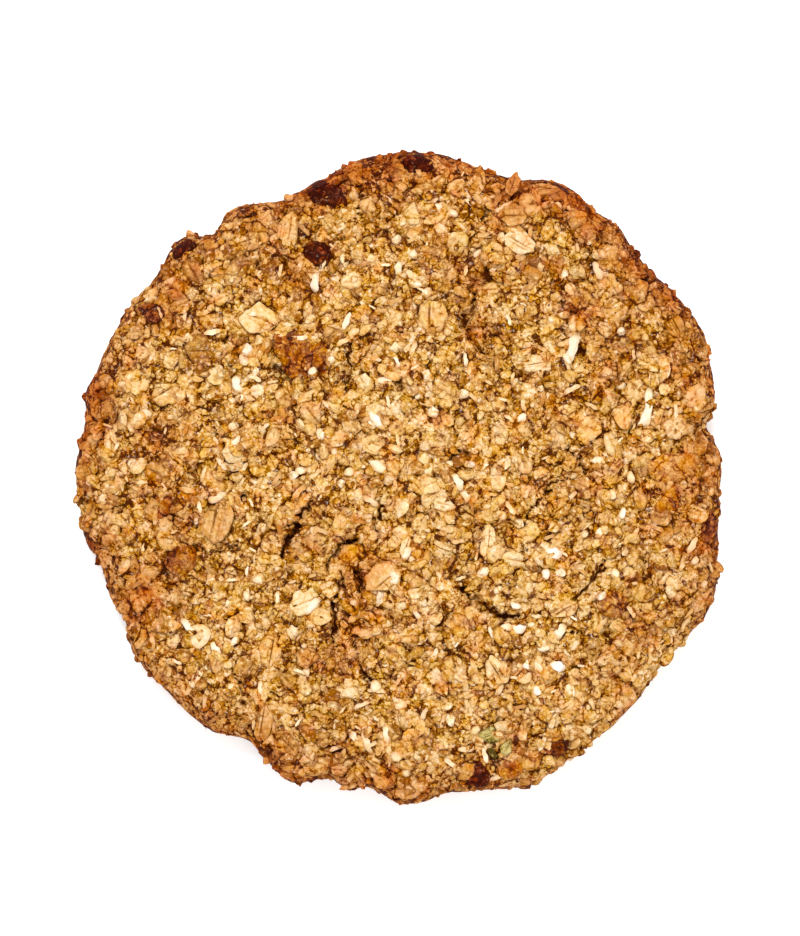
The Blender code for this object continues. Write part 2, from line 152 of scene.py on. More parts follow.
# Places drawn darker, or paler where the strength is negative: x, y, radius in mm, strength. Some darker
# ones, as at (-6, -15) and (-7, -20), are painted shade in low places
TONED_PLACES = (
    (-46, 12, 5.0, 0.6), (41, 28, 5.0, 0.7), (-32, 35, 4.0, 0.15), (-13, 45, 4.5, 1.0),
    (-4, 47, 5.5, 0.9), (25, 43, 4.0, 0.7), (-19, -42, 4.5, 0.45), (-46, -11, 4.5, 0.5),
    (-36, -18, 4.0, 0.6), (-27, -38, 4.0, 0.35), (35, 33, 4.0, 0.4), (-7, -23, 3.5, 0.25),
    (-22, 39, 3.5, 0.25), (8, 46, 4.0, 0.5), (46, -16, 3.5, 0.15), (29, 38, 4.0, 0.5),
    (-7, -40, 4.0, 0.25), (17, 41, 4.0, 0.4), (-33, 24, 4.0, 0.5), (11, 28, 3.5, 0.5),
    (-32, -5, 4.0, 0.5), (-12, 35, 4.0, 0.1), (-15, 30, 4.0, 0.4), (-14, 17, 3.5, 0.15),
    (12, 21, 3.2, 0.5), (27, 25, 3.5, 0.6), (-36, -13, 3.5, 0.5), (-9, -27, 3.5, 0.5),
    (36, -23, 3.5, 0.5), (17, -36, 3.5, 0.3), (-35, 5, 4.0, 0.5), (-15, -8, 3.5, 0.35), (22, 9, 3.0, 0.3),
    (20, -4, 3.5, -0.4), (8, -15, 3.0, -0.3), (22, -30, 3.5, -0.7), (1, 17, 3.0, -0.5),
    (40, -27, 4.0, -1.2), (-21, 14, 4.0, -0.6), (36, -32, 3.5, -0.15), (22, -44, 3.5, -0.3),
    (29, -39, 3.5, -0.5), (7, 19, 2.5, -0.6), (43, 12, 3.5, 0.3), (-47, -5, 3.0, -0.5),
    (-6, -15, 2.6, 0.6), (-7, -20, 2.6, 0.35), (40, -3, 4.0, 0.35), (44, 3, 3.0, 0.35),
    (-20, 32, 3.5, 0.35), (-1, -46, 3.5, 0.35), (32, -27, 3.5, 0.35), (-9, -13, 2.5, 0.3),
    (6, 34, 3.5, 0.3), (28, -1, 3.5, 0.3), (19, 33, 3.5, 0.25), (-47, 6, 3.5, 0.4), (0, -32, 3.5, -0.4),
    (12, -37, 3.5, -0.35), (21, -15, 3.5, -0.4), (18, 40, 3.0, 0.3), (17, -39, 2.5, 0.3),
    (46, -10, 3.0, 0.3), (31, 21, 3.0, 0.3), (-3, -9, 2.5, 0.3), (-22, -30, 3.0, 0.25), (0, 49, 3.0, 0.3),
    (-13, -31, 3.0, -0.3), (40, 19, 3.0, 0.3), (1, 41, 3.0, 0.25), (32, 16, 3.0, 0.25),
    (-3, 19, 2.5, 0.25), (37, -8, 3.0, 0.25), (-25, 9, 3.0, -0.3), (47, 9, 3.0, -0.3),
    (-39, -12, 3.0, -0.3), (-39, 26, 3.0, -0.3), (5, -5, 3.0, -0.25),
)

# Coconut shreds: x, y, length, width in mm, turn in degrees
SHREDS = (
    (36.6, 10.1, 6.0, 1.4, 85), (36.0, 8.6, 3.4, 0.9, 60), (-12.5, -19.0, 3.2, 1.2, 42),
    (-4.3, -38.9, 3.8, 1.1, -69), (-26.3, -2.9, 2.8, 1.2, 23), (29.4, 30.0, 2.9, 1.1, -68),
    (-23.1, 13.5, 2.7, 1.2, -76), (23.8, -22.6, 2.5, 1.2, 58), (8.7, -0.9, 2.8, 1.2, -62),
    (9.8, -2.9, 2.0, 1.1, -56), (-3.2, 8.3, 3.1, 0.9, -56), (-30.4, -21.9, 3.4, 1.1, -52),
    (-0.6, -14.6, 2.4, 1.1, 90), (0.3, 30.4, 2.2, 1.1, 85), (25.6, 18.8, 4.4, 1.7, 75),
    (-23.7, 4.8, 2.7, 0.9, 54), (14.8, -30.8, 2.6, 0.9, 68), (23.4, -27.7, 2.4, 1.1, -22),
    (1.3, -11.2, 2.2, 0.9, 68), (-26.4, -25.0, 2.2, 1.0, -52), (21.3, -39.0, 2.5, 0.8, 65),
    (17.7, 35.1, 2.6, 1.0, -36), (10.0, 17.1, 2.2, 0.7, -84), (2.9, -19.8, 2.2, 0.7, -64),
    (5.6, 39.2, 2.3, 0.7, 7), (21.3, -24.9, 2.2, 0.9, -2), (-15.2, -22.5, 2.0, 0.9, -41),
    (-6.5, -38.6, 2.6, 1.0, -80), (-11.8, 28.4, 3.0, 0.9, 85), (15.6, 39.4, 3.0, 0.9, 30),
    (22.8, -11.2, 2.6, 1.4, -12), (17.8, -22.0, 2.2, 1.2, 0),
)

# White grains and nut bits: x, y, length, width in mm, turn in degrees
GRAINS = (
    (-2.9, 1.6, 3.4, 2.1, -32), (20.7, -27.9, 2.8, 1.9, -42), (0.6, -33.3, 2.1, 1.8, 74),
    (29.2, 2.3, 2.5, 1.5, 8), (-0.3, 3.9, 2.7, 1.5, -18), (-3.1, -30.7, 2.0, 1.8, 77),
    (-21.4, 23.8, 2.4, 1.5, -11), (-20.3, -15.1, 2.1, 1.5, 2), (-6.9, 0.6, 1.9, 1.6, 29),
    (21.7, 11.8, 2.1, 1.4, -34), (34.1, -0.1, 2.1, 1.4, -75), (-37.1, 9.1, 2.3, 1.7, 3),
    (32.9, -5.3, 2.0, 1.3, 80), (30.1, 32.4, 1.9, 1.3, -36), (7.5, -33.7, 1.9, 1.4, 41),
    (29.5, -8.1, 1.9, 1.2, -88), (16.0, -22.1, 2.0, 1.2, -9), (18.2, 8.5, 1.7, 1.4, 50),
    (-14.0, 0.9, 1.9, 1.3, 21), (-13.1, -28.4, 1.9, 1.2, -79), (31.9, -14.2, 1.8, 1.3, -50),
    (11.9, 32.7, 2.0, 1.2, 41), (3.2, -13.0, 1.9, 1.2, 26), (21.7, -14.3, 1.8, 1.6, -88),
    (-23.9, -24.0, 1.7, 1.3, 48), (8.1, 38.5, 1.8, 1.2, -18), (43.5, -12.4, 1.6, 1.4, 72),
    (17.3, -18.8, 1.9, 1.2, -13), (24.8, 17.2, 2.0, 1.1, -50), (-21.8, -17.4, 1.7, 1.2, -78),
    (3.2, 28.2, 1.8, 1.1, -12), (30.4, -2.8, 1.4, 1.2, 85),
)

# ---------------------------------------------------------------- the finer relief

SEED = 7
CUBE_CUTS = 127  # the dough's mesh: 6 sides of 128 by 128 cells
TOP_SHARE = 0.72  # of the mesh's cells, on the top
BASE_SHARE = 0.06
GRANULES = ((2.1 * MM, 0.40 * MM), (1.15 * MM, 0.34 * MM))  # cell size and height of baked crumb
GRIT_SIZE, GRIT_HEIGHT = 0.7 * MM, 0.12 * MM  # of the finest unevenness on it
SKIN_DROP = 0.22 * MM  # the dough's own skin lies this far under the solid's surface
HOST_DROP = 0.55 * MM  # and the middles of the small pieces this far under it
SIDE_DROP, SKIN_SIDE = 0.30 * MM, 0.3  # on the side the middles lie further in, the skin a share of it
HOST_CRACKS = 0.75  # of a crack's depth, how far the small pieces follow it down
CRACK_LIP = 0.5 * MM  # over this width beside a crack the small pieces thin out
COARSE_CLEAR, COARSE_LIP = 0.7 * MM, 0.4 * MM  # the larger ones keep clear of it, and thin out
TOP_FROM = 0.3  # of the way out's z: from here on a place is on the top
SIDE_STAND = 0.62  # how far the small pieces stand out on the side, against 1 on the top
OVERLAP = 0.85  # of a large piece's outline: within it few small ones lie
CRACK_STEPS = 33  # points along a crack's curve
CRACK_WIDTH, CRACK_DEPTH = 0.70, 0.78  # of the listed width and depth, what stays open
HOLE_DEPTH = 1.3 * MM
WANDER = ((2.4 * MM, 0.6), (0.9 * MM, 0.9))  # how ragged the cracks are: size, and side step in mm
WANDER_SHIFTS = (Vector((31.7, 5.3, 0.0)), Vector((4.9, 47.1, 0.0)))  # one noise field for x, one for y
COARSE_PATCH = 5.5 * MM  # size of the patches where the larger crumbs lie closer or further apart
TINT_CELL = 1.4 * MM  # size of the dough's patches of one tint
RIM_WIDTH = 7.0 * MM  # of the edge that browns most
MAP_CELL = 0.15 * MM  # of the height map that the depth between the pieces is read from
MAP_HALF = 55 * MM
# The darkening in these gaps is painted shade
GAPS = ((0.28 * MM, 1.08 / MM), (1.1 * MM, 0.41 / MM))  # gaps of two widths, and how much each darkens
SEEN_FROM, SEEN_OVER = 5.0 * MM, 2.5 * MM  # heights over which the map's depth takes effect
LOW_BELOW, LOW_OVER = 7.0 * MM, 5.0 * MM  # heights over which the foot browns
BROWN_PATCH = 9.0 * MM  # size of the patches that brown more or less
MOST_POINTS = 3.0e6  # to a square metre, before the spacing thins them
SIDE_SIZE = 0.35  # the small pieces' size where "stand" is 0; it is 1 on the top
SHARP_ANGLE = 32  # between faces, in degrees: past it an edge is a broken one and stays crisp


def edge_radius(angle):
    """Distance of the dough's edge from the axis, at an angle in radians, which may be an array."""
    degrees = np.degrees(angle)
    radius = EDGE_RADIUS + EDGE_SHIFT * np.cos(angle)
    for at, half_width, height in LOBES:
        apart = (degrees - at + 180.0) % 360.0 - 180.0
        radius = radius + height * MM * np.exp(-((apart / half_width) ** 2))
    return radius


def dough_form(directions):
    """Places unit vectors on the smooth dough. Returns points, the way out, and the relief's share."""
    angle = np.arctan2(directions[:, 1], directions[:, 0])
    edge = edge_radius(angle)
    share = (1.0 - directions[:, 2]) / 2.0
    on_top = share <= TOP_SHARE
    on_base = share >= 1.0 - BASE_SHARE

    reach = np.sqrt(np.clip(share / TOP_SHARE, 0, 1))
    turn = np.clip((share - TOP_SHARE) / (1.0 - TOP_SHARE - BASE_SHARE), 0, 1) * math.pi
    back = np.sqrt(np.clip((1.0 - share) / BASE_SHARE, 0, 1))
    above = turn <= math.pi / 2
    inset = np.where(above, SHOULDER_INSET, FOOT_INSET)
    rise = np.where(above, SHOULDER_HEIGHT - WAIST_HEIGHT, WAIST_HEIGHT)
    dome = CENTRE_HEIGHT - (CENTRE_HEIGHT - SHOULDER_HEIGHT) * reach**DOME_POWER
    dome_radius, side_radius = (edge - SHOULDER_INSET) * reach, edge - inset + inset * np.sin(turn)

    parts = [on_top, ~on_base]  # the top, then the side; what is left is the base
    radius = np.select(parts, [dome_radius, side_radius], (edge - FOOT_INSET) * back)
    height = np.select(parts, [dome, WAIST_HEIGHT + rise * np.cos(turn)], 0.0)
    out = np.select(parts, [0.0, np.sin(turn)], 0.0)
    up = np.select(parts, [1.0, np.cos(turn)], -1.0)
    around = np.stack([np.cos(angle), np.sin(angle)], 1)
    points = np.column_stack([around * radius[:, None], height])
    way_out = np.column_stack([around * out[:, None], up])
    relief = np.select(parts, [1.0, EDGE_RELIEF * np.clip(2 - turn, 0, 1)], 0.0)
    cover = np.where(on_base, 0.0, np.clip((2.75 - turn) / 0.4, 0, 1))
    return points, way_out, relief, cover


def heaps(points, cells, crossing):
    """Height of rounded heaps at each point, from cells of several sizes, each with its rise."""
    heights = []
    for point in points:
        near = ((noise.voronoi(Vector(point) / size)[0][0], rise) for size, rise in cells)
        heights.append(sum(rise * (crossing - nearest * nearest) for nearest, rise in near))
    return np.array(heights)


def wander(point):
    """A small side step in plan, in mm, which makes the cracks ragged."""
    return [
        sum(reach * noise.noise(point / size + shift) for size, reach in WANDER) for shift in WANDER_SHIFTS
    ]


def crack_reach(points):
    """For each point: how deep the cracks and holes go there, in metres, and how clear of them it is."""
    depth = np.zeros(len(points))
    clear = np.full(len(points), 10.0 * MM)
    points = points[:, :2] + np.array([wander(Vector(p)) for p in points]) * MM
    for *places, width, deep in CRACKS:
        a, m, b = np.array(places).reshape(3, 2) * MM
        control = 2 * m - (a + b) / 2
        for t in np.linspace(0.0, 1.0, CRACK_STEPS):
            on_curve = (1 - t) ** 2 * a + 2 * t * (1 - t) * control + t**2 * b
            apart = np.linalg.norm(points - on_curve, axis=1)
            half = CRACK_WIDTH * width * MM / 2 * (0.45 + 0.55 * math.sin(math.pi * t))
            depth = np.maximum(depth, CRACK_DEPTH * deep * MM * np.clip(1.5 - apart / half, 0, 1))
            clear = np.minimum(clear, apart - half)
    for x, y, radius in HOLES:
        apart = np.linalg.norm(points - np.array((x, y)) * MM, axis=1)
        depth = np.maximum(depth, HOLE_DEPTH * np.clip(1.5 - apart / (radius * MM), 0, 1))
        clear = np.minimum(clear, apart - radius * MM)
    return depth, clear


def inside_pieces(points, table):
    """How far inside the nearest oval of a table each point is: 0 at its middle, 1 on its rim."""
    nearest = np.full(len(points), 9.0)
    for x, y, length, width, turn, *_ in table:
        c, s = math.cos(math.radians(turn)), math.sin(math.radians(turn))
        dx, dy = points[:, 0] / MM - x, points[:, 1] / MM - y
        along, across = (dx * c + dy * s) / (length / 2), (dy * c - dx * s) / (width / 2)
        nearest = np.minimum(nearest, np.hypot(along, across))
    return nearest


def patches(points, size):
    """Soft patches of a size in metres, from about -0.7 to 0.7."""
    return np.array([noise.noise(Vector(p) / size) for p in points])


def rim_share(points):
    """How near each point is to the edge: 0 in the middle, 1 at the widest line."""
    angle = np.arctan2(points[:, 1], points[:, 0])
    inward = edge_radius(angle) - np.hypot(points[:, 0], points[:, 1])
    return np.clip(1.0 - inward / RIM_WIDTH, 0, 1)


# ---------------------------------------------------------------- helpers


# Kinds of node that are used often, some with the setting that they are used with
FIT, CLOUD, CELLS = "ShaderNodeMapRange", "ShaderNodeTexNoise", "ShaderNodeTexVoronoi"
PLUS, MINUS, TIMES, POWER, MORE, LESS, MOST, FRACTION, TIMES_PLUS = (
    ("ShaderNodeMath", {"operation": operation})
    for operation in (
        "ADD", "SUBTRACT", "MULTIPLY", "POWER", "GREATER_THAN", "LESS_THAN", "MAXIMUM", "FRACT",
        "MULTIPLY_ADD",
    )
)
MOVE, SCALE = (("ShaderNodeVectorMath", {"operation": operation}) for operation in ("ADD", "SCALE"))
COVER, TINGE = (("ShaderNodeMix", {"data_type": "RGBA", "blend_type": way}) for way in ("MIX", "MULTIPLY"))
SEAMS = (CELLS, {"feature": "DISTANCE_TO_EDGE"})


def add(tree, kind, *values, give="", stops=(), named=(), **settings):
    """Adds a node with its settings, fills or links its inputs in order or by name, and gives one output."""
    if isinstance(kind, tuple):
        kind, settings = kind
    node = tree.nodes.new(kind)
    for key, value in settings.items():
        setattr(node, key, value)
    ramp = node.color_ramp.elements if stops else ()
    while len(ramp) < len(stops):
        ramp.new(1.0)
    for element, (position, colour) in zip(ramp, stops):
        element.position = position
        element.color = colour
    inputs = [s for s in node.inputs if s.enabled]
    filled = list(zip(inputs, values))
    filled += [(next(s for s in inputs if s.name == name), value) for name, value in dict(named).items()]
    for socket, value in filled:
        if isinstance(value, bpy.types.NodeSocket):
            tree.links.new(value, socket)
        else:
            socket.default_value = value
    return next((s for s in node.outputs if s.enabled and give in ("", s.name)), None)


def hex_colour(text):
    """An sRGB hex value as linear red, green, blue and alpha."""
    values = [int(text[i : i + 2], 16) / 255 for i in (1, 3, 5)]
    return (*(v / 12.92 if v <= 0.04045 else ((v + 0.055) / 1.055) ** 2.4 for v in values), 1.0)


def vertex_array(mesh):
    """The mesh's points, one row each."""
    flat = np.empty(len(mesh.vertices) * 3, np.float32)
    mesh.vertices.foreach_get("co", flat)
    return flat.reshape(-1, 3).astype(float)


def read_attribute(mesh, name):
    """One number for each point."""
    values = np.empty(len(mesh.vertices), np.float32)
    mesh.attributes[name].data.foreach_get("value", values)
    return values


def write_attribute(mesh, name, values):
    """Keeps one number for each point, in place of what that name held."""
    if name in mesh.attributes:
        mesh.attributes.remove(mesh.attributes[name])
    layer = mesh.attributes.new(name, "FLOAT", "POINT")
    layer.data.foreach_set("value", np.asarray(values, np.float32))


def add_object(name, data, collection=None):
    """Puts a mesh, light or camera in the scene or in a collection."""
    obj = bpy.data.objects.new(name, data)
    (collection or bpy.context.scene.collection).objects.link(obj)
    return obj


def mesh_from_bmesh(name, bm):
    """A smooth mesh from a bmesh, which it frees."""
    mesh = bpy.data.meshes.new(name)
    bm.to_mesh(mesh)
    bm.free()
    mesh.shade_smooth()
    return mesh


def settle(obj):
    """Turns the object's modifiers into plain mesh."""
    graph = bpy.context.evaluated_depsgraph_get()
    mesh = bpy.data.meshes.new_from_object(obj.evaluated_get(graph), depsgraph=graph)
    obj.modifiers.clear()
    obj.data = mesh
    mesh.name = obj.name


# ---------------------------------------------------------------- the dough


def ball_mesh(cuts):
    """A cube's even grid blown up to a unit ball, its cells all about as large."""
    bm = bmesh.new()
    bmesh.ops.create_cube(bm, size=2.0)
    bmesh.ops.subdivide_edges(bm, edges=bm.edges, cuts=cuts, use_grid_fill=True)
    mesh = mesh_from_bmesh("dough", bm)
    points = np.tan(vertex_array(mesh) * math.pi / 4)
    points /= np.linalg.norm(points, axis=1)[:, None]
    return mesh, points


def make_dough():
    """The dough, and the hidden host that the small pieces are spread over."""
    mesh, directions = ball_mesh(CUBE_CUTS)
    form, way_out, relief, cover = dough_form(directions)
    lumps = heaps(form, LUMPS, 0.42) * relief
    fine = heaps(form, GRANULES, 0.40) + GRIT_HEIGHT * patches(form, GRIT_SIZE)
    fine *= np.where(way_out[:, 2] > -0.98, 0.50 + 0.50 * relief, 0.0)
    depth, clear = crack_reach(form)
    facing_up = way_out[:, 2] > TOP_FROM
    upper = cover > 0

    host = mesh.copy()
    small_room = cover * np.where(facing_up, np.clip(0.10 + clear / CRACK_LIP, 0, 1), 1.0)
    for table, left in ((FLAKES, 0.12), (FRUIT, 0.30)):
        small_room *= np.where(facing_up & (inside_pieces(form, table) < OVERLAP), left, 1.0)
    coarse = np.clip(0.55 + 2.2 * patches(form, COARSE_PATCH), 0.10, 1)
    wide = np.where(facing_up, np.clip((clear - COARSE_CLEAR) / COARSE_LIP, 0, 1), 1.0)
    room = small_room * wide * np.where(facing_up, coarse, 1.0)
    level = np.clip((way_out[:, 2] - 0.45) / 0.2, 0, 1)
    sideways = SIDE_DROP * np.clip(1.0 - way_out[:, 2], 0, 1) * upper
    in_cracks = HOST_CRACKS * depth * facing_up
    host_points = form + way_out * (lumps - HOST_DROP * upper - sideways - in_cracks)[:, None]
    host.vertices.foreach_set("co", host_points.astype(np.float32).ravel())
    for name, values in (
        ("room", room), ("small_room", small_room), ("top_room", small_room * wide * level),
        ("flat_room", room * level), ("stand", np.where(facing_up, 1.0, SIDE_STAND)),
    ):
        write_attribute(host, name, values)
    host.update()

    height = lumps + fine - SKIN_DROP * upper - SKIN_SIDE * sideways - depth * facing_up
    pits = patches(form, PIT_SIZE)
    middle = np.clip((np.hypot(form[:, 0], form[:, 1]) / FLAT_FOOT_RADIUS - 1.0) * 3.0, 0, 1)
    points = form + way_out * height[:, None]
    base = way_out[:, 2] <= -1.0
    points[:, 2] += PIT_DEPTH * middle * np.clip(pits - PIT_THRESHOLD, 0, 1) * base
    mesh.vertices.foreach_set("co", points.astype(np.float32).ravel())
    cells = np.array([noise.cell(Vector(p) / TINT_CELL) for p in form])
    write_attribute(mesh, "tint", 0.45 + 0.25 * cells)
    mesh.update()
    return add_object("dough", mesh), add_object("host", host)


# ---------------------------------------------------------------- forms of the small pieces


def nugget_form(rng, subdivisions=2, sharpness=1.0):
    """A granule one unit long: an uneven pebble with a few flats, its corners softened by baking."""
    bm = bmesh.new()
    bmesh.ops.create_icosphere(bm, subdivisions=subdivisions, radius=0.5)
    flats = [
        (Vector((rng.gauss(0, 1), rng.gauss(0, 1), rng.gauss(0, 0.8))).normalized(), rng.uniform(0.24, 0.42))
        for _ in range(8)
    ]
    broad, high = rng.uniform(0.62, 1.0), rng.uniform(0.6, 0.85)
    seed = Vector((rng.uniform(0, 99), 0, 0))
    for vertex in bm.verts:
        for facing, reach in flats:
            over = vertex.co.dot(facing) - reach
            if over > 0:
                vertex.co -= facing * over * sharpness
        vertex.co *= 1.0 + 0.30 * sharpness * noise.noise(vertex.co * 4 + seed)
        vertex.co.y *= broad
        vertex.co.z *= high
    return mesh_from_bmesh("nugget", bm)


def shred_form(rng):
    """A coconut shred one unit long: a flat bar, bent and twisted, with ragged thin ends."""
    bm = bmesh.new()
    mark = bm.verts.layers.float.new("mark")
    bmesh.ops.create_cube(bm, size=1.0)
    along = [e for e in bm.edges if abs(e.verts[0].co.x - e.verts[1].co.x) > 0.5]
    bmesh.ops.subdivide_edges(bm, edges=along, cuts=7)
    bend, twist = rng.uniform(-0.07, 0.07), rng.uniform(-1.0, 1.0)
    width, phase = rng.uniform(0.20, 0.32), rng.uniform(0, 6)
    for vertex in bm.verts:
        x, y, z = vertex.co
        vertex[mark] = 0.7 * (2 * abs(x)) ** 3
        taper = (1.0 - (2 * abs(x)) ** 4 * 0.62) * (1.0 + 0.12 * math.sin(9 * x + phase))
        y, z = y * width * taper, z * 0.11 * taper
        turn = twist * x
        y, z = y * math.cos(turn) - z * math.sin(turn), y * math.sin(turn) + z * math.cos(turn)
        vertex.co = (x, y + bend * (1 - 4 * x * x) + 0.02 * math.sin(14 * x + phase), z - 0.10 * x * x)
    bmesh.ops.triangulate(bm, faces=bm.faces)
    return mesh_from_bmesh("shred", bm)


def flake_form(rng, rings, spokes, width=0.78, breaks=1, half_thickness=0.055):
    """A rolled oat one unit long: a thin oval with lengthwise creases, a wavy rim and broken-off sides."""
    bm = bmesh.new()
    mark = bm.verts.layers.float.new("mark")
    curl, lean = rng.uniform(-0.12, 0.14), rng.uniform(-0.25, 0.25)
    phase = [rng.uniform(0, math.tau) for _ in range(4)]
    tears = [(rng.uniform(0, math.tau), rng.uniform(0.04, 0.15), rng.uniform(0.12, 0.32)) for _ in range(3)]
    chords = [(rng.uniform(0, math.tau), rng.uniform(0.55, 0.85)) for _ in range(breaks)]
    creases = [(rng.uniform(-0.06, 0.06), 0.05, 0.026)]
    creases += [(rng.uniform(-0.30, 0.30), 0.025, 0.018) for _ in range(2)]
    seed = Vector((rng.uniform(0, 99), rng.uniform(0, 99), 0))

    def place(reach, angle, side):
        rim = 1.0 + 0.06 * math.sin(3 * angle + phase[0]) + 0.04 * math.sin(7 * angle + phase[1])
        for at, cut, spread in tears:
            apart = (angle - at + math.pi) % math.tau - math.pi
            rim -= cut * math.exp(-((apart / spread) ** 2))
        for at, distance in chords:
            rim = min(rim, distance / max(0.2, math.cos(angle - at)))
        x = 0.5 * reach * rim * math.cos(angle)
        y = 0.5 * reach * rim * math.sin(angle) * width
        z = curl * (x * x + y * y) * 2 + 0.035 * math.sin(9 * x + phase[2]) * math.sin(7 * y + phase[3])
        # dark: painted shade along the creases, added to the mark with a darker rim
        dark = 0.0
        for across, deep, broad in creases:
            line = math.exp(-(((y - across - lean * x * x) / broad) ** 2)) * min(1.0, 3 * (1 - reach))
            z -= deep * line * (side > 0)
            dark += 0.7 * line * deep / 0.05
        z += 0.03 * noise.noise(Vector((x * 4, y * 9, 0)) + seed) * (side > 0)
        thickness = half_thickness * math.sqrt(max(0.0, 1 - reach**4)) + 0.012
        vertex = bm.verts.new((x, y, z + side * thickness))
        vertex[mark] = min(1.0, dark + 0.5 * reach**8)
        return vertex

    sheets = []
    for side in (1, -1):
        middle = place(0.0, 0.0, side)
        circles = [
            [place((r + 1) / rings, math.tau * k / spokes, side) for k in range(spokes)] for r in range(rings)
        ]
        for k in range(spokes):
            k2 = (k + 1) % spokes
            first = (middle, circles[0][k], circles[0][k2])
            bm.faces.new(first if side > 0 else first[::-1])
            for inner, outer in zip(circles, circles[1:]):
                quad = (inner[k], outer[k], outer[k2], inner[k2])
                bm.faces.new(quad if side > 0 else quad[::-1])
        sheets.append(circles[-1])
    for k in range(spokes):
        k2 = (k + 1) % spokes
        bm.faces.new((sheets[0][k], sheets[1][k], sheets[1][k2], sheets[0][k2]))
    bmesh.ops.triangulate(bm, faces=bm.faces)
    return mesh_from_bmesh("flake", bm)


def bran_form(rng):
    """A bran fleck one unit long: a thin splinter with five uneven corners."""
    bm = bmesh.new()
    bmesh.ops.create_cone(bm, cap_ends=True, segments=5, radius1=0.5, radius2=0.42, depth=0.16)
    narrow = rng.uniform(0.25, 0.6)
    for vertex in bm.verts:
        vertex.co.x *= rng.uniform(0.75, 1.2)
        vertex.co.y *= narrow * rng.uniform(0.7, 1.2)
        vertex.co.z += 0.2 * vertex.co.x * vertex.co.x
    bmesh.ops.triangulate(bm, faces=bm.faces)
    return mesh_from_bmesh("bran", bm)


def form_collection(name, meshes):
    """A collection of a few forms for the scatter to pick from."""
    collection = bpy.data.collections.new(name)
    bpy.context.scene.collection.children.link(collection)
    for number, mesh in enumerate(meshes):
        add_object(f"{name}_{number:02d}", mesh, collection)
    return collection


# ---------------------------------------------------------------- scattering


# Inputs of the tree that spreads the small pieces, by the kind of socket
SCATTER_INPUTS = {
    "Geometry": ("Host",),
    "String": ("Room",),
    "Collection": ("Forms",),
    "Float": (
        "Spacing", "Share from", "Share to", "Smallest", "Largest", "Size bias", "Lift", "Lift spread",
        "Tumble", "Palest", "Darkest",
    ),
    "Int": ("Seed",),
    "Material": ("Finish",),
}


def scatter_tree():
    """Pieces of a few forms, spread over the host no closer than the spacing, each with its own tint."""
    tree = bpy.data.node_groups.new("spread_pieces", "GeometryNodeTree")
    tree.is_modifier = True
    for kind, names in SCATTER_INPUTS.items():
        for name in names:
            tree.interface.new_socket(name, in_out="INPUT", socket_type="NodeSocket" + kind)
    tree.interface.new_socket("Pieces", in_out="OUTPUT", socket_type="NodeSocketGeometry")
    given = tree.nodes.new("NodeGroupInput").outputs
    new = partial(add, tree)

    tumble = new(TIMES, given["Tumble"], math.pi)
    back = new(TIMES, tumble, -1.0)
    draws = {}
    for name, low, high, offset in (
        ("share", 0.0, 1.0, 11), ("lift", -1.0, 1.0, 23), ("x", back, tumble, 31), ("y", back, tumble, 37),
        ("z", -math.pi, math.pi, 41), ("size", 0.0, 1.0, 53), ("tint", given["Darkest"], given["Palest"], 67),
    ):
        seed = new("FunctionNodeIntegerMath", given["Seed"], offset, operation="ADD")
        ends = {"Min": low, "Max": high, "Seed": seed}
        draws[name] = new("FunctionNodeRandomValue", named=ends, data_type="FLOAT")

    room, stand = (
        new("GeometryNodeInputNamedAttribute", name, data_type="FLOAT") for name in (given["Room"], "stand")
    )
    spots = {
        "Mesh": given["Host"], "Distance Min": given["Spacing"], "Density Max": MOST_POINTS,
        "Density Factor": room, "Seed": given["Seed"],
    }
    points = new("GeometryNodeDistributePointsOnFaces", named=spots, distribute_method="POISSON").node.outputs
    above = new(MORE, draws["share"], given["Share from"])
    below = new(LESS, draws["share"], given["Share to"])
    share = new(TIMES, above, below)
    chosen = new("GeometryNodeSeparateGeometry", points["Points"], share, domain="POINT")
    spread = new(TIMES, draws["lift"], given["Lift spread"])
    lift = new(PLUS, given["Lift"], spread)
    lift = new(TIMES, lift, stand)
    offset = new(SCALE, points["Normal"], lift)
    raised = new("GeometryNodeSetPosition", chosen, named={"Offset": offset})
    turn = new("ShaderNodeCombineXYZ", draws["x"], draws["y"], draws["z"])
    turn = new("FunctionNodeEulerToRotation", turn)
    turn = new("FunctionNodeRotateRotation", points["Rotation"], turn, rotation_space="LOCAL")
    bias = new(POWER, draws["size"], given["Size bias"])
    span = new(MINUS, given["Largest"], given["Smallest"])
    size = new(TIMES, bias, span)
    size = new(PLUS, given["Smallest"], size)
    upright = new(TIMES_PLUS, stand, 1.0 - SIDE_SIZE, SIDE_SIZE)
    size = new(TIMES, size, upright)
    forms = new("GeometryNodeCollectionInfo", given["Forms"], True, True, transform_space="RELATIVE")
    picks = {"Min": 0, "Max": 99, "Seed": given["Seed"]}
    pick = new("FunctionNodeRandomValue", named=picks, data_type="INT")
    parts = {
        "Instance": forms, "Pick Instance": True, "Instance Index": pick, "Rotation": turn, "Scale": size,
    }
    placed = new("GeometryNodeInstanceOnPoints", raised, named=parts)
    layer = {"Name": "tint", "Value": draws["tint"]}
    tinted = new("GeometryNodeStoreNamedAttribute", placed, named=layer, data_type="FLOAT", domain="INSTANCE")
    real = new("GeometryNodeRealizeInstances", tinted)
    finished = new("GeometryNodeSetMaterial", real, named={"Material": given["Finish"]})
    new("NodeGroupOutput", finished)
    return tree


def scatter(name, tree, host, values):
    """Spreads one kind of small piece and returns it as plain mesh."""
    piece = add_object(name, host.data.copy())
    modifier = piece.modifiers.new("spread", "NODES")
    modifier.node_group = tree
    for socket in tree.interface.items_tree:
        if socket.item_type == "SOCKET" and socket.in_out == "INPUT" and socket.name in values:
            modifier[socket.identifier] = values[socket.name]
    settle(piece)
    piece.data.shade_smooth()
    piece.data.set_sharp_from_angle(angle=math.radians(SHARP_ANGLE))
    return piece


# ---------------------------------------------------------------- the large pieces


